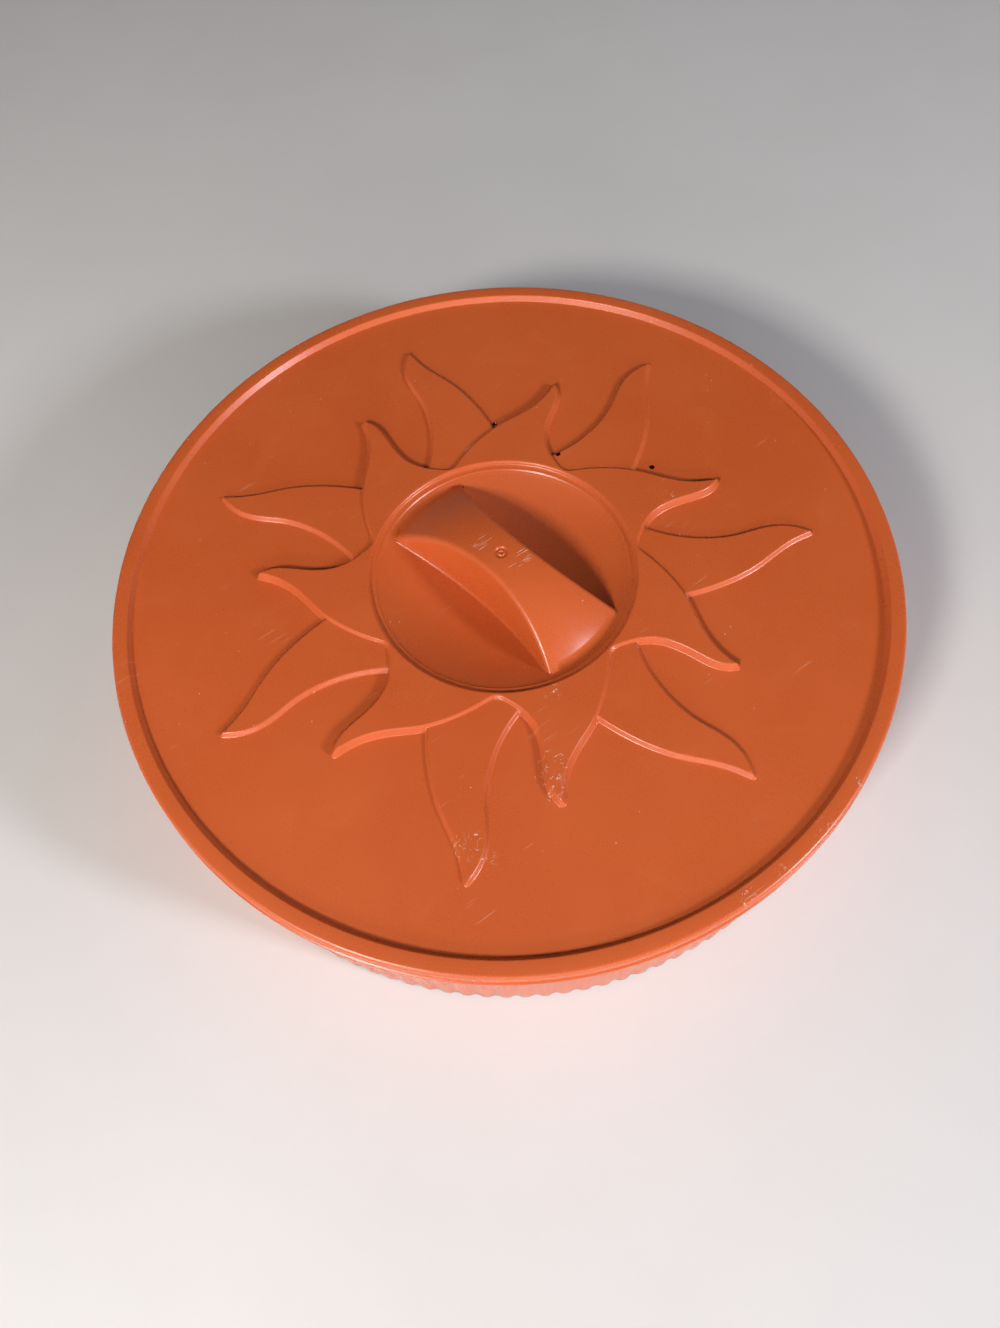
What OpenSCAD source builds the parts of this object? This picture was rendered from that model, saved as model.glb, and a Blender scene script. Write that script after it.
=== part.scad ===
// Round lidded warmer in two mouldings: a shallow ribbed bowl, and a lid with a sun
// in relief round a dished recess that a domed grip bar crosses.
// The origin is on the table under the centre of the bowl, with +Z up.

/* [Overall] */
// Outer diameter of the lid's rim
lid_d = 254; // [252:0.5:258]
// Height of the lid's flat field above the table
field_z = 51; // [46:1:70]
// Wall thickness of the lid
lid_wall = 2.4; // [2:0.1:2.8]

/* [Lid rim] */
// Width of the raised rim, from its inner top edge to the outside
rim_w = 5.1; // [4.5:0.1:6]
// Height of the rim above the field
rim_h = 2; // [1.5:0.1:2.5]
// Slope of the rim's inner face, as a width
rim_slope_w = 1.1; // [0.5:0.1:1.5]
// Radius on the rim's outer top edge
rim_edge_r = 1.4; // [1:0.1:1.8]
// Depth of the skirt below the rim's top
skirt_h = 6.8; // [6:0.1:8]
// Radius of the skirt's inside face
skirt_inner_r = 125.4; // [125.3:0.05:125.6]
// How much further out the skirt's lower edge is than the rim
skirt_flare = 0.6; // [0:0.1:1]

/* [Sun relief] */
// Number of long rays, and of short rays
ray_count = 7; // [7:1:7]
// Height of the long rays above the field
long_h = 1.4; // [1:0.1:2]
// Height of the short rays and of the ring they grow from
short_h = 2.4; // [2.2:0.1:3]
// Direction of the first long ray, anticlockwise from +X
long_angle = 105; // [0:0.5:360]
// Direction of the first short ray, anticlockwise from +X
short_angle = 122.65; // [0:0.05:360]
// Steps in each curved stretch of a ray's outline
curve_steps = 8; // [4:1:12]

/* [Recess and grip] */
// Radius of the recess at its upper edge
recess_r = 43.4; // [43:0.1:43.8]
// Radius where the ledge inside the edge drops into the dish
ledge_r = 41; // [40.8:0.1:41.4]
// Radius of the dish
dish_r = 40.4; // [40:0.1:40.6]
// Depth of the ledge below the upper edge
ledge_drop = 0.9; // [0.6:0.1:1.2]
// Depth of the middle of the dish below the field
dish_depth = 8; // [6:0.5:10]
// Direction of the grip bar, anticlockwise from +X
grip_angle = -50.4; // [-180:0.1:180]
// Height of the grip's top above the field
grip_h = 12.7; // [10:0.1:16]
// Radius of the dome that forms the grip's top
dome_r = 65; // [60:1:75]
// Width of the grip across its waist, at the top
waist_w = 15; // [12:0.5:20]
// Radius of the two scoops beside the grip
scoop_r = 96; // [80:1:120]
// Draft of the scoops' faces, in degrees
scoop_draft = 5.5; // [2:0.5:8]

/* [Steam vents] */
// Diameter of each vent
vent_d = 1.8; // [1.2:0.1:2.5]
// Distance of each vent from the centre
vent_r = [61.9, 50.5, 65.6];
// Direction of each vent, anticlockwise from +X
vent_angle = [87.4, 62.5, 33.6];

/* [Bowl] */
// Radius to the ribs' crests at the table
bowl_foot_r = 125.5; // [123:0.1:126]
// Radius to the ribs' crests at the shoulder under the skirt
bowl_shoulder_r = 126.6; // [126.4:0.1:126.8]
// Number of ribs round the bowl
rib_count = 126; // [110:1:150]
// Depth of the grooves between the ribs
rib_depth = 0.7; // [0.4:0.1:0.9]
// Radius of the grooves' round section
groove_r = 3; // [2.8:0.1:3.1]
// Size of the chamfer round the foot
foot_edge = 1.2; // [1:0.1:1.6]
// Outer radius of the plain rim inside the lid's skirt
bowl_rim_r = 125; // [124.8:0.05:125]
// Inner radius of the bowl at its mouth
mouth_r = 122.7; // [122:0.1:122.9]
// Inner radius of the wall, just above the corner with the floor
inner_low_r = 121; // [120:0.1:121.5]
// Radius of the corner between the wall and the floor
corner_r = 9; // [5:0.5:14]
// Height of the floor's upper face above the table
floor_z = 3.4; // [3:0.1:4]
// Depth of the hollow under the floor
under_depth = 1; // [0.5:0.1:1.2]
// Radius of the hollow under the floor
under_r = 108; // [90:1:116]
// Gap between the skirt's lower edge and the bowl's shoulder
skirt_gap = 0.5; // [0.3:0.1:1]

/* [Hidden] */
$fn = 180;
shell_color = [0.76, 0.36, 0.20];
eps = 0.01;
// How far a cutting shape passes the surface that it cuts
cut = 1;
// How far the grip's ends run into the wall of the recess
grip_root = 0.3;
lid_r = lid_d / 2;
rim_inner_r = lid_r - rim_w;
rim_top_z = field_z + rim_h;
skirt_z = rim_top_z - skirt_h;
under_z = field_z - lid_wall;
shoulder_z = skirt_z - skirt_gap;
edge_z = field_z + short_h;
ledge_z = edge_z - ledge_drop;
ring_r = 44;
step = 360 / ray_count;
dome_z = field_z + grip_h - dome_r;
dish_sphere_r = (dish_r * dish_r + dish_depth * dish_depth) / (2 * dish_depth);
dish_sphere_z = field_z - dish_depth + dish_sphere_r;
scoop_y = waist_w / 2 + scoop_r;
grip_low_z = field_z - dish_depth - lid_wall - cut;
scoop_span = field_z + grip_h + cut - grip_low_z;
groove_fn = 32;

// Each ray lies along +X. An edge is two Bezier stretches that join smoothly.
short_lower = [
    [[42.3, -11.3], [48.4, -4.5], [52.2, -1.1], [60, -0.8]],
    [[60, -0.8], [68.6, -0.5], [74, -3.8], [79.6, 0.2]]
];
short_upper = [
    [[79.6, 0.2], [67.5, 2.5], [62.5, 11.2], [56.8, 15.7]],
    [[56.8, 15.7], [52, 19.5], [44.6, 23.7], [35, 26]]
];
long_lower = [
    [[54, -17.3], [63, -16.5], [72.7, -14.3], [80, -10.7]],
    [[80, -10.7], [87.1, -7.2], [91.3, -2.8], [101.2, -0.4]]
];
long_upper = [
    [[101.2, -0.4], [93.3, 4.9], [88, 3.7], [80, 2.2]],
    [[80, 2.2], [73.1, 0.8], [59.2, 1.9], [48, 9.5]]
];
// Inner ends of the rays, which lie inside the ring or under the short rays
short_root = [[33.2, 24.6], [40, -10.7]];
long_root = [[44, 10], [42, -6], [50, -15]];

function bezier(p, t) = pow(1 - t, 3) * p[0] + 3 * pow(1 - t, 2) * t * p[1]
    + 3 * (1 - t) * t * t * p[2] + pow(t, 3) * p[3];

function edge_points(stretches) = [
    for (p = stretches)
        for (i = [0 : curve_steps - 1])
            bezier(p, i / curve_steps)
];

function outline(lower, upper, root) = concat(
    edge_points(lower),
    edge_points(upper),
    [upper[1][3]],
    root
);

// Outside of the bowl before the grooves are cut, turned about the axis
module bowl_body() {
    rotate_extrude()
        polygon([
            [0, 0],
            [bowl_foot_r - foot_edge, 0],
            [bowl_foot_r, foot_edge],
            [bowl_shoulder_r, shoulder_z],
            [bowl_rim_r, shoulder_z],
            [bowl_rim_r, under_z],
            [0, under_z]
        ]);
}

// Grooves between the ribs, leaning outwards with the wall
module grooves() {
    lean = atan((bowl_shoulder_r - bowl_foot_r) / (shoulder_z - foot_edge));
    for (k = [0 : rib_count - 1])
        rotate([0, 0, 360 * k / rib_count])
            translate([bowl_foot_r - rib_depth + groove_r, 0, foot_edge])
                rotate([0, lean, 0])
                    translate([0, 0, -foot_edge - cut])
                        cylinder(r = groove_r, h = shoulder_z + 2 * cut, $fn = groove_fn);
}

// Inside of the bowl, open at the mouth
module bowl_cavity() {
    corner_z = floor_z + corner_r;
    rotate_extrude()
        polygon([
            [0, corner_z],
            [inner_low_r, corner_z],
            [mouth_r, under_z],
            [mouth_r, under_z + cut],
            [0, under_z + cut]
        ]);
    rotate_extrude()
        translate([inner_low_r - corner_r, corner_z])
            circle(r = corner_r);
    translate([0, 0, floor_z])
        cylinder(r = inner_low_r - corner_r, h = 2 * corner_r);
}

module bowl() {
    color(shell_color)
        difference() {
            bowl_body();
            grooves();
            bowl_cavity();
            translate([0, 0, -cut])
                cylinder(r = under_r, h = under_depth + cut);
        }
}

// Section of the lid outside the recess, turned about the axis
module lid_section() {
    polygon([
        [dish_r - lid_wall, under_z],
        [skirt_inner_r, under_z],
        [skirt_inner_r, skirt_z],
        [lid_r + skirt_flare, skirt_z],
        [lid_r, rim_top_z - rim_edge_r],
        [lid_r - rim_edge_r, rim_top_z - rim_edge_r],
        [lid_r - rim_edge_r, rim_top_z],
        [rim_inner_r, rim_top_z],
        [rim_inner_r - rim_slope_w, field_z],
        [dish_r - lid_wall, field_z]
    ]);
    translate([lid_r - rim_edge_r, rim_top_z - rim_edge_r])
        circle(r = rim_edge_r);
}

// One layer of rays, standing on the field
module rays(points, first_angle, height) {
    for (k = [0 : ray_count - 1])
        rotate([0, 0, first_angle - k * step])
            translate([0, 0, field_z - cut])
                linear_extrude(height = height + cut)
                    polygon(points);
}

// Part of the dome between the two scoops, made smaller all round by inset
module grip_solid(inset) {
    lean = tan(scoop_draft);
    top_scoop_r = scoop_r + inset;
    rotate([0, 0, grip_angle])
        difference() {
            intersection() {
                translate([0, 0, dome_z])
                    sphere(r = dome_r - inset);
                translate([0, 0, grip_low_z])
                    cylinder(r = dish_r + grip_root - inset, h = scoop_span);
            }
            for (side = [-1, 1])
                translate([0, side * scoop_y, grip_low_z])
                    cylinder(
                        r1 = top_scoop_r - (scoop_span - cut) * lean,
                        r2 = top_scoop_r + cut * lean,
                        h = scoop_span
                    );
        }
}

// Lid outside the recess: field, rim, skirt, rays and the ring round the recess
module lid_plate() {
    rotate_extrude()
        lid_section();
    rays(outline(long_lower, long_upper, long_root), long_angle, long_h);
    rays(outline(short_lower, short_upper, short_root), short_angle, short_h);
    translate([0, 0, under_z])
        cylinder(r = ring_r, h = edge_z - under_z);
    // Outside of the dish, below the field
    intersection() {
        dish_ball(lid_wall);
        translate([0, 0, under_z - dish_depth - cut])
            cylinder(r = ring_r, h = dish_depth + 2 * cut);
    }
}

// Ball whose underside is the dish, made larger all round by grow
module dish_ball(grow) {
    translate([0, 0, dish_sphere_z])
        sphere(r = dish_sphere_r + grow);
}

// Space inside the recess, from the upper edge to the dish
module recess_space() {
    translate([0, 0, ledge_z])
        cylinder(r = recess_r, h = ledge_drop + cut);
    translate([0, 0, field_z])
        cylinder(r1 = dish_r, r2 = ledge_r, h = ledge_z - field_z + eps);
    intersection() {
        dish_ball(0);
        translate([0, 0, field_z - dish_depth - cut])
            cylinder(r = dish_r, h = dish_depth + cut + eps);
    }
}

module vents() {
    for (i = [0 : len(vent_r) - 1])
        rotate([0, 0, vent_angle[i]])
            translate([vent_r[i], 0, under_z - cut])
                cylinder(d = vent_d, h = lid_wall + short_h + 2 * cut);
}

module lid() {
    color(shell_color)
        difference() {
            union() {
                difference() {
                    lid_plate();
                    recess_space();
                }
                intersection() {
                    grip_solid(0);
                    dish_ball(lid_wall);
                }
            }
            // The grip is hollow, and open from below
            grip_solid(lid_wall);
            vents();
        }
}

bowl();
lid();
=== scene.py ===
import math

import bpy
import numpy as np
from mathutils import Matrix, Vector
from mathutils.geometry import delaunay_2d_cdt


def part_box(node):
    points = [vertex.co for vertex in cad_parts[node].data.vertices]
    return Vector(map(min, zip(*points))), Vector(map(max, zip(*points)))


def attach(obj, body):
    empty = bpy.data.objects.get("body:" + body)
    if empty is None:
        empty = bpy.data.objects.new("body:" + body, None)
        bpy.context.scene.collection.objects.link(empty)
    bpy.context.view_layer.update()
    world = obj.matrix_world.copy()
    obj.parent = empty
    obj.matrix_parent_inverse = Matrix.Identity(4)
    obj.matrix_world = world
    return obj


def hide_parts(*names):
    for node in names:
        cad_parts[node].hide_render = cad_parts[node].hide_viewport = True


MM = 0.001
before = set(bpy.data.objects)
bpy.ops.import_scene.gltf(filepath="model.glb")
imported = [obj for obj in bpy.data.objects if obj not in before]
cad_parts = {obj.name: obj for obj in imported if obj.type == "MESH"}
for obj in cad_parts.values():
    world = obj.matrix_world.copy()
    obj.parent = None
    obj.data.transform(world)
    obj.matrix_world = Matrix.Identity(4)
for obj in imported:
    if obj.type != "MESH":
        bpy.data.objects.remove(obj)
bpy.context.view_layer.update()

# Heights and radii in millimetres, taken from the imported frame. Section heights below are
# measured from the lid's flat field.
lid_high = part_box("lid")[1] / MM
bowl_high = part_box("bowl")[1] / MM
GRIP_H = 12.7
FIELD_Z = lid_high.z - GRIP_H
LIP_R = lid_high.x
UNDER = bowl_high.z - FIELD_Z
SHOULDER_R = bowl_high.x

RAYS = 7
STEP = 360 / RAYS
LONG_ANGLE, SHORT_ANGLE = 105, 122.65
LONG_H, SHORT_H = 1.4, 2.4
LONG_WALL, SHORT_WALL = 1.1, 1.4
EDGE_R = 0.7
FILLET = 0.35
RING_R = 44
VALLEY = 1.6
PLATE_R = 119.6
RIM_FOOT_R, RIM_INNER_R = 120.8, 121.95
RIM_SIDES = 360
RIM_TOP = 2.0
SKIRT_BOTTOM = -4.8
SKIRT_INNER_R = 125.4
UNDERSIDE_R = SKIRT_INNER_R - 0.6
LIP_W = 0.6
WALL = 2.4

DISH_R, DISH_DEPTH = 40.4, 8
SPHERE_R = (DISH_R**2 + DISH_DEPTH**2) / (2 * DISH_DEPTH)
DOME_R = 65
SCOOP_R, WAIST = 96, 15
LEAN = math.tan(math.radians(5.5))
GRIP_ANGLE = -50.4
GRIP_EDGE_R, GRIP_FOOT_R = 1.6, 1.1
# The edge rounding grows by EDGE_GROWTH over EDGE_RUN towards the far end of the bar
EDGE_GROWTH, EDGE_RUN = 0.9, 30
# The foot's radius is at most this share of the height of the wall above it
FOOT_SHARE = 0.35
DISH_BLEND = 0.12

VENT_R = 0.9
VENTS = [(61.9, 87.4), (50.5, 62.5), (65.6, 33.6)]

# Each ray lies along +X. An edge is two Bezier stretches that join smoothly.
SHORT_LOWER = [
    [(42.3, -11.3), (48.4, -4.5), (52.2, -1.1), (60, -0.8)],
    [(60, -0.8), (68.6, -0.5), (74, -3.8), (79.6, 0.2)],
]
SHORT_UPPER = [
    [(79.6, 0.2), (67.5, 2.5), (62.5, 11.2), (56.8, 15.7)],
    [(56.8, 15.7), (52, 19.5), (44.6, 23.7), (35, 26)],
]
LONG_LOWER = [
    [(54, -17.3), (63, -16.5), (72.7, -14.3), (80, -10.7)],
    [(80, -10.7), (87.1, -7.2), (91.3, -2.8), (101.2, -0.4)],
]
LONG_UPPER = [
    [(101.2, -0.4), (93.3, 4.9), (88, 3.7), (80, 2.2)],
    [(80, 2.2), (73.1, 0.8), (59.2, 1.9), (48, 9.5)],
]
SHORT_ROOT = [(33.2, 24.6), (40, -10.7)]
LONG_ROOT = [(44, 10), (42, -6), (50, -15)]


# ---------------------------------------------------------------- plane geometry


def bezier(p, t):
    p = np.array(p, float)
    t = t[:, None]
    return (
        (1 - t) ** 3 * p[0]
        + 3 * (1 - t) ** 2 * t * p[1]
        + 3 * (1 - t) * t * t * p[2]
        + t**3 * p[3]
    )


def ray_edge(lower, upper, steps=14):
    """The visible outline of a ray, from its root round the tip and back."""
    t = np.linspace(0, 1, steps, endpoint=False)
    parts = [bezier(p, t) for p in lower + upper]
    return np.vstack(parts + [[upper[1][3]]])


def turned(points, degrees):
    a = math.radians(degrees)
    c, s = math.cos(a), math.sin(a)
    return points @ np.array([[c, s], [-s, c]])


def circle(radius, sides):
    a = np.arange(sides) * 2 * math.pi / sides
    return np.stack([radius * np.cos(a), radius * np.sin(a)], 1)


def signed(points, polygon):
    """Distance to a closed outline, negative inside it."""
    best = np.full(len(points), 1e9)
    inside = np.zeros(len(points), bool)
    x, y = points[:, 0], points[:, 1]
    for a, b in zip(polygon, np.roll(polygon, -1, 0)):
        d = b - a
        w = points - a
        t = np.clip(w @ d / (d @ d), 0, 1)
        q = w - t[:, None] * d
        best = np.minimum(best, (q * q).sum(1))
        if a[1] != b[1]:
            inside ^= ((a[1] > y) != (b[1] > y)) & (
                x < d[0] * (y - a[1]) / d[1] + a[0]
            )
    return np.where(inside, -1, 1) * np.sqrt(best)


def rounded(points, radii, steps=24):
    """A section line with each inner corner replaced by an arc of its radius."""
    pts = [np.array(p, float) for p in points]
    out = [pts[0]]
    for a, b, c, r in zip(pts, pts[1:], pts[2:], radii):
        if r == 0:
            out.append(b)
            continue
        u = (a - b) / np.linalg.norm(a - b)
        v = (c - b) / np.linalg.norm(c - b)
        half = math.acos(float(u @ v)) / 2
        centre = b + (u + v) / np.linalg.norm(u + v) * r / math.sin(half)
        p0 = b + u * r / math.tan(half) - centre
        p1 = b + v * r / math.tan(half) - centre
        a0 = math.atan2(p0[1], p0[0])
        turn = math.remainder(math.atan2(p1[1], p1[0]) - a0, 2 * math.pi)
        for i in range(steps + 1):
            a = a0 + turn * i / steps
            out.append(centre + r * np.array([math.cos(a), math.sin(a)]))
    return np.array(out + [pts[-1]])


def smooth_max(a, b, k):
    h = np.maximum(k - np.abs(a - b), 0) / k
    return np.maximum(a, b) + h * h * k / 4


def look_up(line, x):
    return np.interp(x, line[:, 0], line[:, 1])


# ---------------------------------------------------------------- height of the lid's top

SHORT_EDGE = ray_edge(SHORT_LOWER, SHORT_UPPER)
LONG_EDGE = ray_edge(LONG_LOWER, LONG_UPPER)
SHORT_POLYGON = np.vstack([SHORT_EDGE, SHORT_ROOT])
LONG_POLYGON = np.vstack([LONG_EDGE, LONG_ROOT])
FAR = 30
SHORT_SECTION = rounded(
    [(-FAR, SHORT_H), (0, SHORT_H), (FAR, SHORT_H - FAR * SHORT_H / SHORT_WALL)],
    [EDGE_R],
)
LONG_SECTION = rounded(
    [(-FAR, LONG_H), (0, LONG_H), (FAR, LONG_H - FAR * LONG_H / LONG_WALL)],
    [EDGE_R],
)
# Step from the ring down to the ledge, and from the ledge down into the dish
RECESS_SECTION = rounded(
    [(36, -8), (40.4, 0), (41, 0.25), (41.45, 0.75), (42.9, 0.95), (43.5, 2.4), (60, 2.4)],
    [0, 0, 0.3, 0.3, 0.9],
)
# Corner between a scoop's steep face and the grip's top, and the corner at its foot
ARM = 20
REACH = (ARM - 1) * LEAN
GRIP_EDGE = rounded([(-ARM * LEAN, -ARM), (0, 0), (ARM, 0)], [1])
GRIP_FOOT = rounded([(-ARM * LEAN, ARM), (0, 0), (ARM, 0)], [1])


def ray_distance(points, polygon, first_angle):
    best = np.full(len(points), float(FAR))
    for k in range(RAYS):
        local = turned(points, -(first_angle - k * STEP))
        near = (local[:, 0] > 25) & (np.abs(local[:, 1]) < 34)
        if near.any():
            best[near] = -smooth_max(-best[near], -signed(local[near], polygon), VALLEY)
    return best


def short_distance(points):
    """Distance to the short rays and the ring together, with rounded valleys."""
    ring = np.hypot(*points.T) - RING_R
    rays = ray_distance(points, SHORT_POLYGON, SHORT_ANGLE)
    return -smooth_max(-rays, -ring, VALLEY)


def relief(points):
    long_d = ray_distance(points, LONG_POLYGON, LONG_ANGLE)
    short_d = short_distance(points)
    h = smooth_max(look_up(SHORT_SECTION, short_d), look_up(LONG_SECTION, long_d), FILLET)
    return smooth_max(h, 0, FILLET)


def grip_terms(points, inset):
    """Place along the bar, height of the dome, and how far inside the nearer scoop's edge."""
    u, v = turned(points, -GRIP_ANGLE).T
    r = np.hypot(u, v)
    dome = GRIP_H - DOME_R + np.sqrt((DOME_R - inset) ** 2 - r**2)
    rho = np.hypot(u, WAIST / 2 + SCOOP_R - np.abs(v))
    inside = rho - (SCOOP_R + inset) - (dome - GRIP_H) * LEAN
    return u, dome, inside


def edge_radius(u):
    """Radius of the grip's edge rounding at a place along the bar."""
    return GRIP_EDGE_R + EDGE_GROWTH * np.clip(-u / EDGE_RUN, 0, 1)


def foot_radius(lift):
    """Radius of the corner at a wall's foot, for a wall of height lift."""
    return np.clip(lift * FOOT_SHARE, 1e-3, GRIP_FOOT_R)


def dish_height(r, inset=0.0):
    """Height of the dish, or of its underside when inset is the wall's thickness."""
    centre = SPHERE_R - DISH_DEPTH
    return centre - np.sqrt((SPHERE_R + inset) ** 2 - np.minimum(r, 60) ** 2)


def top_height(points):
    r = np.hypot(*points.T)
    z = relief(points) + look_up(RECESS_SECTION, r) - SHORT_H
    inner = r < RING_R
    p, ri = points[inner], r[inner]
    base = smooth_max(z[inner], dish_height(ri), DISH_BLEND)
    u, dome, inside = grip_terms(p, 0)
    edge_r = edge_radius(u)
    grip = dome + edge_r * look_up(GRIP_EDGE, np.maximum(inside / edge_r, -REACH))
    deep = inside < -REACH * edge_r
    grip = np.where(deep, dome + inside / LEAN, grip)
    lift = dome - base
    foot_r = foot_radius(lift)
    x = -lift * LEAN - inside
    fillet = foot_r * (look_up(GRIP_FOOT, x / foot_r) - np.maximum(0, -x / foot_r / LEAN))
    fillet = np.where((lift > 0.05) & (x > -REACH * foot_r), fillet, 0)
    z[inner] = np.maximum(base, grip) + np.maximum(fillet, 0) + gate_mark(ri)
    return z


MARK_DEPTH, MARK_R, MARK_SOFT = 0.45, 1.95, 0.08
MARK_RING, MARK_RING_R, MARK_RING_W = 0.42, 0.85, 0.25


def gate_mark(r):
    """The small dimple with a raised ring that the moulding gate leaves at the centre."""
    dimple = -MARK_DEPTH / (1 + np.exp((r - MARK_R) / MARK_SOFT))
    ring = MARK_RING * np.exp(-(((r - MARK_RING_R) / MARK_RING_W) ** 2))
    return dimple + ring


def bottom_height(points):
    r = np.hypot(*points.T)
    z = np.minimum(UNDER, dish_height(r, WALL))
    z[r > RING_R] = UNDER
    inner = r < RING_R
    _, dome, inside = grip_terms(points[inner], WALL)
    hollow = np.minimum(dome, dome + inside / LEAN)
    z[inner] = np.maximum(z[inner], hollow)
    return z


def slopes(height, points, reach=0.03):
    """Upward unit normals of a height function."""
    dx, dy = np.array([reach, 0]), np.array([0, reach])
    gx = (height(points + dx) - height(points - dx)) / (2 * reach)
    gy = (height(points + dy) - height(points - dy)) / (2 * reach)
    n = np.stack([-gx, -gy, np.ones(len(points))], 1)
    return n / np.linalg.norm(n, axis=1)[:, None]


# ---------------------------------------------------------------- lines that the mesh follows


# Sides of the rings in the sheets, and how far lines run past the place where they meet
RING_SIDES, RECESS_SIDES, DISH_SIDES, MARK_SIDES = 420, 300, 96, 32
BOTTOM_SIDES, VENT_SIDES = 144, 24
OVERRUN = 0.3
# Corners of an outline are fanned into steps of at most this angle, in radians
FAN_STEP = 0.3


class Lines:
    """Points and edges that a sheet's triangles must follow."""

    def __init__(self):
        self.points, self.edges, self.count = [], [], 0

    def add(self, points, closed=False, keep=None):
        first = self.count
        points = np.asarray(points, float)
        n = len(points)
        kept = np.ones(n, bool) if keep is None else keep
        index = np.cumsum(kept) - 1 + first
        pairs = range(n if closed else n - 1)
        self.edges += [
            (int(index[i]), int(index[(i + 1) % n]))
            for i in pairs
            if kept[i] and kept[(i + 1) % n]
        ]
        self.points.append(points[kept])
        self.count += int(kept.sum())
        return list(range(first, self.count))

    def sheet(self, height):
        """Triangles through every line: points with heights, normals, faces, input places."""
        flat = np.vstack(self.points)
        out = delaunay_2d_cdt([Vector(p) for p in flat], self.edges, [], 0, 0.004)
        xy = np.array([tuple(v) for v in out[0]])
        place = {i: k for k, ids in enumerate(out[3]) for i in ids}
        z = height(xy)
        return np.column_stack([xy, z]), slopes(height, xy), [list(t) for t in out[2]], place


def polar(radius, degrees):
    return turned(np.array([[radius, 0.0]]), degrees)[0]


VENT_CENTRES = [polar(r, angle) for r, angle in VENTS]


def clear_of_vents(points):
    ok = np.ones(len(points), bool)
    for centre in VENT_CENTRES:
        ok &= np.hypot(*(points - centre).T) > VENT_R + 0.25
    return ok


def beside(line, polygon, away):
    """The line moved sideways by away, and which of its points don't fold over."""
    d = np.diff(line, axis=0)
    a = np.unwrap(np.arctan2(d[:, 1], d[:, 0])) - math.pi / 2
    angles, bases = [a[0]], [line[0]]
    for i in range(1, len(d)):
        turn = a[i] - a[i - 1]
        fan = max(1, int(abs(turn) / FAN_STEP))
        for j in range(fan):
            angles.append(a[i - 1] + turn * (j + 0.5) / fan)
            bases.append(line[i])
    angles.append(a[-1])
    bases.append(line[-1])
    angles = np.array(angles)
    moved = np.array(bases) + away * np.stack([np.cos(angles), np.sin(angles)], 1)
    return moved, np.abs(signed(moved, polygon) - away) < 0.03


def relief_lines(lines):
    """Lines beside every outline, close together where the section of its wall bends."""
    short_foot = SHORT_WALL * (1 - LONG_H / SHORT_H)
    short_away = [-0.75, -0.4, -0.24, -0.1, 0.04, 0.2, 1.2, 1.4, 1.62]
    step_away = [short_foot - 0.16, short_foot, short_foot + 0.2]
    long_away = [-0.65, -0.34, -0.2, -0.08, 0.06, 0.21, 0.85, 1.1, 1.38]
    for k in range(RAYS):
        for away in short_away + step_away:
            moved, whole = beside(SHORT_EDGE, SHORT_POLYGON, away)
            p = turned(moved, SHORT_ANGLE - k * STEP)
            whole &= (np.hypot(*p.T) > RING_R + away - 0.02) & clear_of_vents(p)
            if away in step_away:
                whole &= ray_distance(p, LONG_POLYGON, LONG_ANGLE) < OVERRUN
            lines.add(p, keep=whole)
        for away in long_away:
            moved, whole = beside(LONG_EDGE, LONG_POLYGON, away)
            p = turned(moved, LONG_ANGLE - k * STEP)
            whole &= (short_distance(p) > -OVERRUN) & clear_of_vents(p)
            lines.add(p, keep=whole)
    for away in short_away + step_away:
        p = circle(RING_R + away, RING_SIDES)
        valley = ray_distance(p, SHORT_POLYGON, SHORT_ANGLE) > away - OVERRUN
        if away in step_away:
            valley &= ray_distance(p, LONG_POLYGON, LONG_ANGLE) < OVERRUN
        if away < -OVERRUN:
            valley[:] = False
        lines.add(p, closed=True, keep=valley & clear_of_vents(p))


FIRST_GUESS = 12.0
PASSES = 12


def grip_line(target, inset, base, side, reach, steps=90):
    """Points where inside equals target(place along the bar, height of the wall)."""
    u = np.linspace(-reach, reach, steps)
    middle = WAIST / 2 + SCOOP_R
    v = np.full(steps, side * FIRST_GUESS)
    for _ in range(PASSES):
        p = turned(np.stack([u, v], 1), GRIP_ANGLE)
        dome = grip_terms(p, inset)[1]
        lift = dome - base(np.hypot(u, v))
        rho = SCOOP_R + inset + (dome - GRIP_H) * LEAN + target(u, lift)
        v = side * (middle - np.sqrt(np.maximum(rho**2 - u**2, 1)))
    return turned(np.stack([u, v], 1), GRIP_ANGLE), lift


def grip_lines(lines):
    edge = [1.6, 0.915, 0.62, 0.38, 0.2, 0.06, -0.02, -0.06, -0.0875]
    foot = [-0.0875, -0.03, 0.04, 0.16, 0.34, 0.6, 0.915]
    part = [0.2, 0.4, 0.6, 0.8]
    for side in (-1, 1):
        targets = [lambda u, lift, t=t: t * edge_radius(u) for t in edge]
        targets += [
            lambda u, lift, x=x: -lift * LEAN - x * foot_radius(lift) for x in foot
        ]
        targets += [lambda u, lift, s=s: -lift * LEAN * s for s in part]
        for target in targets:
            p, lift = grip_line(target, 0, dish_height, side, 40)
            keep = (np.hypot(*p.T) < 40.2) & (lift > 0.02)
            lines.add(p, keep=keep)


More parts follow.
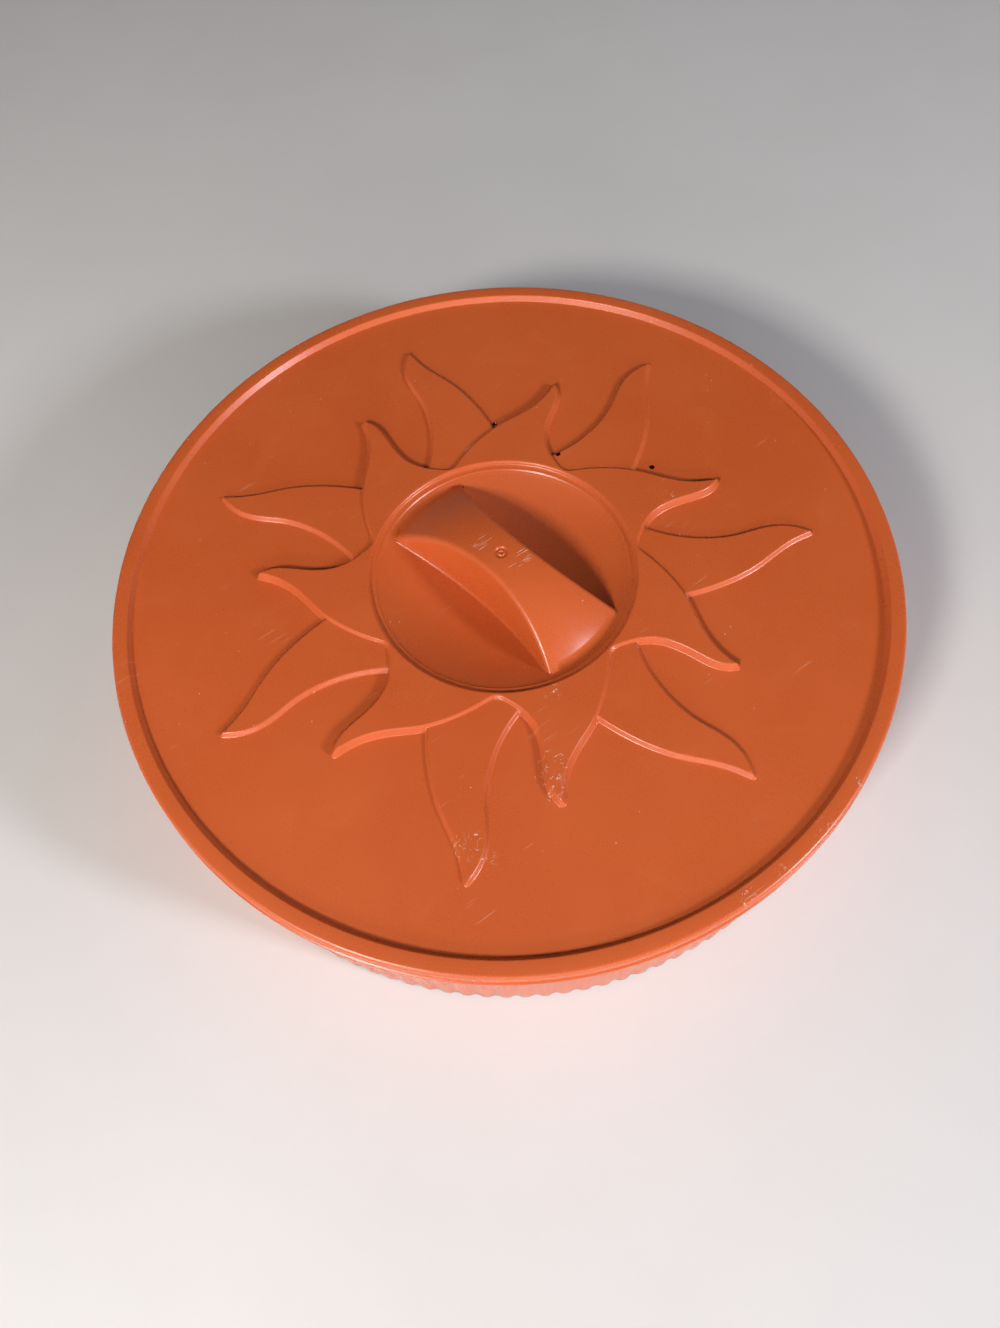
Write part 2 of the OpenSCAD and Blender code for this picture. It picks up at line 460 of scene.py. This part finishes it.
def top_lines():
    lines = Lines()
    border = lines.add(circle(PLATE_R, RIM_SIDES), closed=True)
    vents = [lines.add(circle(VENT_R, VENT_SIDES) + c, closed=True) for c in VENT_CENTRES]
    relief_lines(lines)
    for r in (44.5, 44.2, 43.95, 43.7, 43.45, 43.2, 42.9, 42.75, 42.55, 42.1, 41.6):
        lines.add(circle(r, RECESS_SIDES), closed=True)
    for r in (41.4, 41.25, 41.1, 40.95, 40.85, 40.6, 40.4, 40.2, 39.9):
        lines.add(circle(r, RECESS_SIDES), closed=True)
    for r in (37, 33, 29, 25, 21, 17, 13, 9, 6, 4):
        lines.add(circle(r, DISH_SIDES), closed=True)
    for r in (2.5, 2.2, 2.05, 1.95, 1.85, 1.7, 1.4, 1.2, 1.0, 0.85, 0.7, 0.5, 0.25):
        lines.add(circle(r, MARK_SIDES), closed=True)
    grip_lines(lines)
    return lines, border, vents


def bottom_lines():
    lines = Lines()
    border = lines.add(circle(UNDERSIDE_R, RIM_SIDES), closed=True)
    vents = [lines.add(circle(VENT_R, VENT_SIDES) + c, closed=True) for c in VENT_CENTRES]
    for r in (41.5, 40.9, 38, 34, 30, 26, 22, 18, 14, 10, 6, 3):
        lines.add(circle(r, BOTTOM_SIDES), closed=True)
    for side in (-1, 1):
        for target in (lambda u, lift: 0 * u, lambda u, lift: -lift * LEAN):
            base = lambda r: dish_height(r, WALL)
            p, lift = grip_line(target, WALL, base, side, 38)
            lines.add(p, keep=(np.hypot(*p.T) < 39.5) & (lift > 0.02))
    return lines, border, vents


# ---------------------------------------------------------------- solid pieces


class Body:
    """Collects the points, normals and faces of one closed mesh, in millimetres."""

    def __init__(self):
        self.points, self.normals, self.faces, self.count = [], [], [], 0

    def add(self, points, normals):
        first = self.count
        self.points.append(np.asarray(points, float))
        self.normals.append(np.asarray(normals, float))
        self.count += len(points)
        return first

    def ring(self, radius, z, normal, sides, ripple=None):
        """A ring of points. normal is the section's (outward, upward) direction."""
        a = np.arange(sides) * 2 * math.pi / sides
        r = np.full(sides, float(radius)) if ripple is None else ripple
        points = np.stack([r * np.cos(a), r * np.sin(a), np.full(sides, float(z))], 1)
        nr, nz = normal
        normals = np.stack([nr * np.cos(a), nr * np.sin(a), np.full(sides, nz)], 1)
        if ripple is not None:
            slope = (np.roll(r, -1) - np.roll(r, 1)) / (4 * math.pi / sides * r)
            normals[:, 0] += nr * slope * np.sin(a)
            normals[:, 1] -= nr * slope * np.cos(a)
        first = self.add(points, normals)
        return list(range(first, first + sides))

    def join(self, inner, outer):
        """Quads, or fans where one ring has a whole number of times more points."""
        n, m = len(inner), len(outer)
        few = min(n, m)
        a, b = n // few, m // few
        for k in range(few):
            row_a = [inner[(k * a + i) % n] for i in range(a + 1)]
            row_b = [outer[(k * b + i) % m] for i in range(b + 1)]
            if a == b == 1:
                self.faces.append([row_a[0], row_b[0], row_b[1], row_a[1]])
                continue
            wide, apex = (row_b, row_a) if b > a else (row_a, row_b)
            half = len(wide) // 2
            tris = [(apex[0], wide[i], wide[i + 1]) for i in range(half)]
            tris.append((apex[0], wide[half], apex[1]))
            tris += [(apex[1], wide[i], wide[i + 1]) for i in range(half, len(wide) - 1)]
            flip = b <= a
            self.faces += [list(t[::-1] if flip else t) for t in tris]

    def cap(self, ring, z, up):
        centre = self.add([[0, 0, z]], [[0, 0, 1 if up else -1]])
        n = len(ring)
        for k in range(n):
            a, b = ring[k], ring[(k + 1) % n]
            self.faces.append([centre, a, b] if up else [centre, b, a])

    def build(self, name):
        mesh = bpy.data.meshes.new(name)
        points = np.vstack(self.points) * MM
        mesh.from_pydata(points.tolist(), [], self.faces)
        mesh.shade_smooth()
        normals = np.vstack(self.normals)
        normals /= np.linalg.norm(normals, axis=1)[:, None]
        mesh.normals_split_custom_set_from_vertices(normals.tolist())
        obj = bpy.data.objects.new(name, mesh)
        bpy.context.scene.collection.objects.link(obj)
        return obj


def section_normals(line):
    """Normals on the left of a section line, averaged at its points."""
    d = np.diff(line, axis=0)
    n = np.stack([-d[:, 1], d[:, 0]], 1)
    n /= np.linalg.norm(n, axis=1)[:, None]
    n = np.vstack([n[:1], n[:-1] + n[1:], n[-1:]])
    return n / np.linalg.norm(n, axis=1)[:, None]


def make_lid():
    body = Body()
    lines, border, vents = top_lines()
    points, normals, faces, place = lines.sheet(top_height)
    points[:, 2] += FIELD_Z
    hole = [np.mean([points[place[i], :2] for i in v], 0) for v in vents]
    first = body.add(points, normals)

    def open_faces(points, faces):
        """Faces that don't lie in a vent."""
        middle = points[np.array(faces)].mean(1)[:, :2]
        ok = np.ones(len(faces), bool)
        for c in hole:
            ok &= np.hypot(*(middle - c).T) > VENT_R * 0.99
        return [f for f, good in zip(faces, ok) if good]

    body.faces += [[first + i for i in f] for f in open_faces(points, faces)]
    top_border = [first + place[i] for i in border]
    top_vents = [[first + place[i] for i in v] for v in vents]

    lines, border, vents = bottom_lines()
    points, normals, faces, place = lines.sheet(bottom_height)
    points[:, 2] += FIELD_Z
    first = body.add(points, -normals)
    body.faces += [[first + i for i in f[::-1]] for f in open_faces(points, faces)]
    low_border = [first + place[i] for i in border]
    low_vents = [[first + place[i] for i in v] for v in vents]

    for high, low in zip(top_vents, low_vents):
        n = len(high)
        for j in range(n):
            k = (j + 1) % n
            body.faces.append([high[j], high[k], low[k], low[j]])

    # Rim, side, lip and skirt, outwards over the top and back inwards below
    side_r = LIP_R - LIP_W
    section = rounded(
        [
            (PLATE_R, 0),
            (RIM_FOOT_R, 0),
            (RIM_INNER_R, RIM_TOP),
            (side_r, RIM_TOP),
            (side_r, SKIRT_BOTTOM + 1.1),
            (LIP_R, SKIRT_BOTTOM + 0.9),
            (LIP_R, SKIRT_BOTTOM),
            (SKIRT_INNER_R, SKIRT_BOTTOM),
            (SKIRT_INNER_R, UNDER),
            (UNDERSIDE_R, UNDER),
        ],
        [0.25, 0.6, 1.3, 0.12, 0.3, 0.25, 0.3, 0.4],
        steps=6,
    )
    outward = section_normals(section)
    rings = [top_border]
    for (r, z), n in zip(section[1:-1], outward[1:-1]):
        rings.append(body.ring(r, z + FIELD_Z, n, RIM_SIDES))
    rings.append(low_border)
    for a, b in zip(rings, rings[1:]):
        body.join(a, b)
    return body.build("lid_shell")


SKIRT_GAP = 0.5
RIBS = 126
RIB_STEPS = 12
SHOULDER_Z = FIELD_Z + SKIRT_BOTTOM - SKIRT_GAP
GROOVE_R, GROOVE_DEPTH, CREST_BLEND = 3, 0.7, 0.3
FOOT_R, FOOT_EDGE = 125.5, 1.2
RIM_R, MOUTH_R = 125, 122.7
INNER_LOW_R, CORNER_R, FLOOR_Z = 121, 9, 3.4
UNDER_R, UNDER_DEPTH = 108, 1


def ribbed(crest, z):
    """Radius round the ribbed wall at one height."""
    n = RIBS * RIB_STEPS
    a = np.arange(n) * 2 * math.pi / n
    pitch = 2 * math.pi / RIBS
    across = (np.mod(a + pitch / 2, pitch) - pitch / 2) * crest
    lean = (SHOULDER_R - FOOT_R) / (SHOULDER_Z - FOOT_EDGE)
    groove = FOOT_R - GROOVE_DEPTH + (z - FOOT_EDGE) * lean
    groove = groove + GROOVE_R - np.sqrt(np.maximum(GROOVE_R**2 - across**2, 0.01))
    return -smooth_max(-groove, np.full(n, -float(crest)), CREST_BLEND)


def make_bowl():
    body = Body()
    coarse = RIBS * 2
    rim_z = bowl_high.z - 0.02
    # Outside, from the foot up to the shoulder
    wall = rounded(
        [
            (FOOT_R - 1.6, 0),
            (FOOT_R - FOOT_EDGE, 0),
            (FOOT_R, FOOT_EDGE),
            (SHOULDER_R, SHOULDER_Z),
            (RIM_R + 0.7, SHOULDER_Z),
        ],
        [0.3, 0.6, 0.5],
        steps=5,
    )
    extra = [wall[12] + (wall[13] - wall[12]) * t for t in (0.2, 0.4, 0.6, 0.8)]
    wall = np.vstack([wall[:13], extra, wall[13:]])
    outward = -section_normals(wall)
    under = [
        body.ring(UNDER_R - 0.4, UNDER_DEPTH, (0, -1), coarse),
        body.ring(UNDER_R, UNDER_DEPTH - 0.4, (-0.7, -0.7), coarse),
        body.ring(UNDER_R + 0.1, 0, (-0.3, -1), coarse),
    ]
    rings = list(under)
    for i, ((r, z), n) in enumerate(zip(wall, outward)):
        if i == 0:
            rings.append(body.ring(r, z, (0, -1), coarse))
            continue
        rings.append(body.ring(r, z, n, RIBS * RIB_STEPS, ribbed(r, z)))
    inside_low = FLOOR_Z + CORNER_R
    rim = rounded(
        [
            (RIM_R, SHOULDER_Z),
            (RIM_R, rim_z),
            (MOUTH_R, rim_z),
            (INNER_LOW_R, inside_low),
            (INNER_LOW_R, FLOOR_Z),
            (60, FLOOR_Z),
        ],
        [0.4, 0.5, 0, CORNER_R],
        steps=8,
    )
    outward_rim = -section_normals(rim)
    for (r, z), n in zip(rim, outward_rim):
        rings.append(body.ring(r, z, n, coarse))
    for a, b in zip(rings, rings[1:]):
        body.join(a, b)
    # The rings run outwards below and inwards above, so their faces turn over
    body.faces = [f[::-1] for f in body.faces]
    body.cap(rings[-1], FLOOR_Z, True)
    body.cap(rings[0], UNDER_DEPTH, False)
    return body.build("bowl_shell")


# ---------------------------------------------------------------- materials


class Shader:
    """Short calls for building one node material."""

    def __init__(self, name):
        self.material = bpy.data.materials.new(name)
        self.material.use_nodes = True
        self.tree = self.material.node_tree
        self.bsdf = self.tree.nodes["Principled BSDF"]
        place = self.tree.nodes.new("ShaderNodeTexCoord")
        self.place = place.outputs["Object"]

    def put(self, socket, value):
        if isinstance(value, bpy.types.NodeSocket):
            self.tree.links.new(value, socket)
        else:
            socket.default_value = value

    def noise(self, scale, detail=4.0, rough=0.5, vector=None, distortion=0.0):
        n = self.tree.nodes.new("ShaderNodeTexNoise")
        self.put(n.inputs["Vector"], vector or self.place)
        self.put(n.inputs["Scale"], scale)
        self.put(n.inputs["Detail"], detail)
        self.put(n.inputs["Roughness"], rough)
        self.put(n.inputs["Distortion"], distortion)
        return n.outputs["Fac"]

    def cells(self, scale):
        n = self.tree.nodes.new("ShaderNodeTexVoronoi")
        self.put(n.inputs["Vector"], self.place)
        self.put(n.inputs["Scale"], scale)
        return n.outputs["Distance"]

    def stretched(self, thin, degrees):
        """Coordinates in which a texture draws lines along a direction, thin times finer across."""
        n = self.tree.nodes.new("ShaderNodeMapping")
        n.vector_type = "TEXTURE"
        self.put(n.inputs["Vector"], self.place)
        self.put(n.inputs["Rotation"], (0, 0, math.radians(degrees)))
        self.put(n.inputs["Scale"], (1, 1 / thin, 1))
        return n.outputs["Vector"]

    def crease(self, reach):
        """1 in the open, less where surfaces meet within reach millimetres."""
        n = self.tree.nodes.new("ShaderNodeAmbientOcclusion")
        n.samples = 8
        self.put(n.inputs["Distance"], reach * MM)
        return n.outputs["AO"]

    def math(self, kind, a, b=0.0, clamp=False):
        n = self.tree.nodes.new("ShaderNodeMath")
        n.operation = kind
        n.use_clamp = clamp
        self.put(n.inputs[0], a)
        self.put(n.inputs[1], b)
        return n.outputs[0]

    def ramp(self, value, low, high, to_low=0.0, to_high=1.0):
        n = self.tree.nodes.new("ShaderNodeMapRange")
        n.interpolation_type = "SMOOTHSTEP"
        self.put(n.inputs["Value"], value)
        self.put(n.inputs["From Min"], low)
        self.put(n.inputs["From Max"], high)
        self.put(n.inputs["To Min"], to_low)
        self.put(n.inputs["To Max"], to_high)
        return n.outputs["Result"]

    def mix(self, factor, a, b):
        n = self.tree.nodes.new("ShaderNodeMix")
        n.data_type = "RGBA"
        self.put(n.inputs[0], factor)
        self.put(n.inputs[6], a)
        self.put(n.inputs[7], b)
        return n.outputs[2]

    def near(self, x, y, z, reach, soft):
        """1 within reach millimetres of a point, falling to 0 over soft millimetres."""
        n = self.tree.nodes.new("ShaderNodeVectorMath")
        n.operation = "DISTANCE"
        self.put(n.inputs[0], self.place)
        self.put(n.inputs[1], (x * MM, y * MM, z * MM))
        return self.ramp(n.outputs["Value"], reach * MM, (reach + soft) * MM, 1.0, 0.0)

    def worn_at(self, places, marks):
        """The marks, kept to some places. A place is x, y, z, reach and softness in millimetres."""
        spots = 0.0
        for place in places:
            spots = self.math("MAXIMUM", spots, self.near(*place))
        return self.math("MULTIPLY", spots, marks)

    def bump(self, height, distance, strength=1.0, after=None):
        n = self.tree.nodes.new("ShaderNodeBump")
        self.put(n.inputs["Strength"], strength)
        self.put(n.inputs["Distance"], distance)
        self.put(n.inputs["Height"], height)
        if after is not None:
            self.put(n.inputs["Normal"], after)
        return n.outputs["Normal"]


def linear(r, g, b):
    """A display colour from 0 to 255 as linear light."""
    c = np.array([r, g, b]) / 255
    c = np.where(c < 0.04045, c / 12.92, ((c + 0.055) / 1.055) ** 2.4)
    return (*map(float, c), 1.0)


TERRACOTTA = linear(195, 90, 43)
TERRACOTTA_DEEP = linear(189, 84, 38)
TERRACOTTA_PALE = linear(200, 98, 51)
SCUFF = linear(232, 186, 160)
DUST = linear(226, 190, 168)
# Deep brown painted into creases as shade, not a colour of the plastic
CREASE_SHADE_COLOR = linear(66, 18, 6)


def plastic(name, scuffs=(), scratches=()):
    """Moulded terracotta plastic: mottled colour, fine texture, specks, wear at set places, and
    painted shade in creases.
    """
    s = Shader(name)
    cloud = s.ramp(s.noise(14, 5, 0.6), 0.3, 0.7)
    base = s.mix(cloud, TERRACOTTA_DEEP, TERRACOTTA)
    pale = s.ramp(s.noise(45, 6, 0.65, distortion=0.6), 0.52, 0.75, 0.0, 0.35)
    base = s.mix(pale, base, TERRACOTTA_PALE)
    # Painted shade: the colour darkens to deep brown where surfaces meet, standing in for the shade
    # that falls in creases and at the feet of walls
    painted_crease_shade = s.ramp(s.crease(2.2), 0.3, 0.8, 0.9, 0.0)
    base = s.mix(painted_crease_shade, base, CREASE_SHADE_COLOR)
    # Dust specks, only in some places
    speck = s.ramp(s.cells(480), 0.05, 0.13, 1.0, 0.0)
    chosen = s.ramp(s.noise(230, 1), 0.66, 0.7)
    specks = s.math("MULTIPLY", speck, chosen)
    # Scuffs: thin curling lines, kept to the rubbed places
    curl = s.noise(330, 2, 0.5, distortion=1.2)
    line = s.ramp(s.math("ABSOLUTE", s.math("SUBTRACT", curl, 0.5)), 0.004, 0.016, 1.0, 0.0)
    broken = s.ramp(s.noise(700, 2), 0.46, 0.56)
    marks = s.math("MULTIPLY", line, broken)
    # Straight scratches, faint everywhere and clear at set places
    streak = s.ramp(s.noise(70, 1, 0.4, vector=s.stretched(30, 31)), 0.7, 0.73)
    stray = s.math("MULTIPLY", streak, s.ramp(s.noise(60, 1), 0.62, 0.68, 0.0, 0.18))
    worn = s.math("MAXIMUM", stray, s.worn_at(scuffs, marks))
    fine = s.ramp(s.noise(110, 1, 0.4, vector=s.stretched(26, 30)), 0.62, 0.66, 0.0, 0.7)
    worn = s.math("MAXIMUM", worn, s.worn_at(scratches, fine))
    base = s.mix(worn, base, SCUFF)
    base = s.mix(s.math("MULTIPLY", specks, 0.75), base, DUST)
    s.put(s.bsdf.inputs["Base Color"], base)
    rough = s.ramp(s.noise(30, 6, 0.7), 0.3, 0.7, 0.26, 0.34)
    grain = s.noise(1500, 3, 0.6)
    rough = s.math("ADD", rough, s.ramp(grain, 0.3, 0.7, -0.03, 0.03))
    rough = s.math("ADD", rough, s.math("MULTIPLY", worn, 0.25))
    s.put(s.bsdf.inputs["Roughness"], rough)
    s.put(s.bsdf.inputs["IOR"], 1.49)
    wave = s.bump(s.noise(22, 2, 0.4), 0.00025, 0.5)
    texture = s.bump(grain, 0.00002, 0.5, after=wave)
    nick = s.bump(s.math("ADD", worn, specks), 0.00008, 0.6, after=texture)
    s.put(s.bsdf.inputs["Normal"], nick)
    return s.material


def floor_material():
    s = Shader("floor_paint")
    cloud = s.ramp(s.noise(3, 5, 0.6), 0.3, 0.7)
    s.put(s.bsdf.inputs["Base Color"], s.mix(cloud, linear(206, 202, 198), linear(212, 208, 205)))
    s.put(s.bsdf.inputs["Roughness"], s.ramp(s.noise(40, 4), 0.3, 0.7, 0.55, 0.65))
    s.put(s.bsdf.inputs["Normal"], s.bump(s.noise(300, 4), 0.0001, 0.4))
    return s.material


def around(radius, degrees, z, reach, soft):
    x, y = polar(radius, degrees)
    return float(x), float(y), FIELD_Z + z, reach, soft


LID_SCUFFS = [
    around(70, -83.5, 2.4, 3.5, 4),
    around(77, -83.5, 2.4, 2.5, 2.5),
    around(90.5, -101.5, 1.4, 3, 3),
    around(94, -97.8, 1.4, 1.5, 2.5),
    around(62, 21, 2.4, 1.2, 2),
    around(46, -76, 2.4, 1.5, 2.5),
    around(125.8, -63, 2, 1.5, 3),
    around(126.2, -57, 2, 1.2, 2.5),
    around(125.8, -49, 2, 1.8, 3),
    around(126.2, -41, 2, 1, 2.5),
]
LID_SCRATCHES = [
    (-5.5, 5.0, FIELD_Z + 12.2, 2.5, 1.5),
    (3.5, -4.0, FIELD_Z + 12.4, 1.6, 1.5),
    (7.2, -1.5, FIELD_Z + 12.2, 1.6, 1.5),
]


# ---------------------------------------------------------------- the scene

lid = make_lid()
bowl = make_bowl()
lid.data.materials.append(plastic("lid_terracotta", LID_SCUFFS, LID_SCRATCHES))
bowl.data.materials.append(plastic("bowl_terracotta"))
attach(lid, "lid")
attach(bowl, "bowl")
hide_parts("lid")
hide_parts("bowl")

floor_mesh = bpy.data.meshes.new("floor")
FLOOR = 5.0
floor_mesh.from_pydata(
    [(-FLOOR, -FLOOR, 0), (FLOOR, -FLOOR, 0), (FLOOR, FLOOR, 0), (-FLOOR, FLOOR, 0)],
    [],
    [(0, 1, 2, 3)],
)
floor = bpy.data.objects.new("floor", floor_mesh)
bpy.context.scene.collection.objects.link(floor)
floor.data.materials.append(floor_material())


def soft_light(name, place, target, size, energy, color):
    data = bpy.data.lights.new(name, "AREA")
    data.shape = "RECTANGLE"
    data.size, data.size_y = size
    data.energy = energy
    data.color = color
    obj = bpy.data.objects.new(name, data)
    obj.location = place
    direction = Vector(target) - Vector(place)
    obj.rotation_euler = direction.to_track_quat("-Z", "Y").to_euler()
    bpy.context.scene.collection.objects.link(obj)


soft_light("key", (-0.45, -0.6, 0.65), (0, 0, 0.04), (0.16, 0.16), 7.5, (1.0, 0.98, 0.95))
soft_light("side", (0.95, -0.57, 0.61), (0, 0, 0.04), (0.15, 0.2), 10.5, (0.84, 0.88, 1.0))
soft_light("front", (-0.15, -1.1, 0.42), (0, 0, 0.04), (0.9, 0.12), 2.6, (1.0, 0.95, 0.94))
soft_light("top", (-0.2, -0.3, 1.4), (0, 0, 0.03), (1.2, 1.2), 0.5, (1.0, 1.0, 1.0))

# The surroundings are brighter near the horizon than overhead, and brightest on the near side
world = bpy.data.worlds.new("studio")
world.use_nodes = True
tree = world.node_tree
background = tree.nodes["Background"]
background.inputs["Color"].default_value = (0.93, 0.94, 0.96, 1)
direction = tree.nodes.new("ShaderNodeTexCoord")
split = tree.nodes.new("ShaderNodeSeparateXYZ")
tree.links.new(direction.outputs["Generated"], split.inputs[0])


def sky_ramp(axis, low, high, to_low, to_high):
    n = tree.nodes.new("ShaderNodeMapRange")
    limits = {"From Min": low, "From Max": high, "To Min": to_low, "To Max": to_high}
    for key, value in limits.items():
        n.inputs[key].default_value = value
    tree.links.new(split.outputs[axis], n.inputs["Value"])
    return n.outputs["Result"]


glow = tree.nodes.new("ShaderNodeMath")
glow.operation = "MULTIPLY"
tree.links.new(sky_ramp("Z", 0.0, 0.5, 0.6, 0.08), glow.inputs[0])
tree.links.new(sky_ramp("Y", -0.95, 0.5, 2.8, 0.5), glow.inputs[1])
tree.links.new(glow.outputs[0], background.inputs["Strength"])
bpy.context.scene.world = world
bpy.context.scene.view_settings.view_transform = "Standard"

# The photograph's viewpoint: 64 degrees down, with a roll of a few degrees
PITCH, ROLL = math.radians(63.925), math.radians(-5.778)
FOCAL, LONG_SIDE, SENSOR = 945.8, 1328, 36
camera_data = bpy.data.cameras.new("camera")
camera_data.sensor_width = SENSOR
camera_data.lens = SENSOR * FOCAL / LONG_SIDE
camera_data.clip_start = 0.01
camera = bpy.data.objects.new("camera", camera_data)
forward = Vector((0, math.cos(PITCH), -math.sin(PITCH)))
right = Vector((1, 0, 0))
up = right.cross(forward)
across = math.cos(ROLL) * right + math.sin(ROLL) * up
upward = -math.sin(ROLL) * right + math.cos(ROLL) * up
camera.matrix_world = Matrix(
    [
        (across.x, upward.x, -forward.x, -0.0039),
        (across.y, upward.y, -forward.y, -0.1617),
        (across.z, upward.z, -forward.z, FIELD_Z * MM + 0.2638),
        (0, 0, 0, 1),
    ]
)
bpy.context.scene.collection.objects.link(camera)
bpy.context.scene.camera = camera
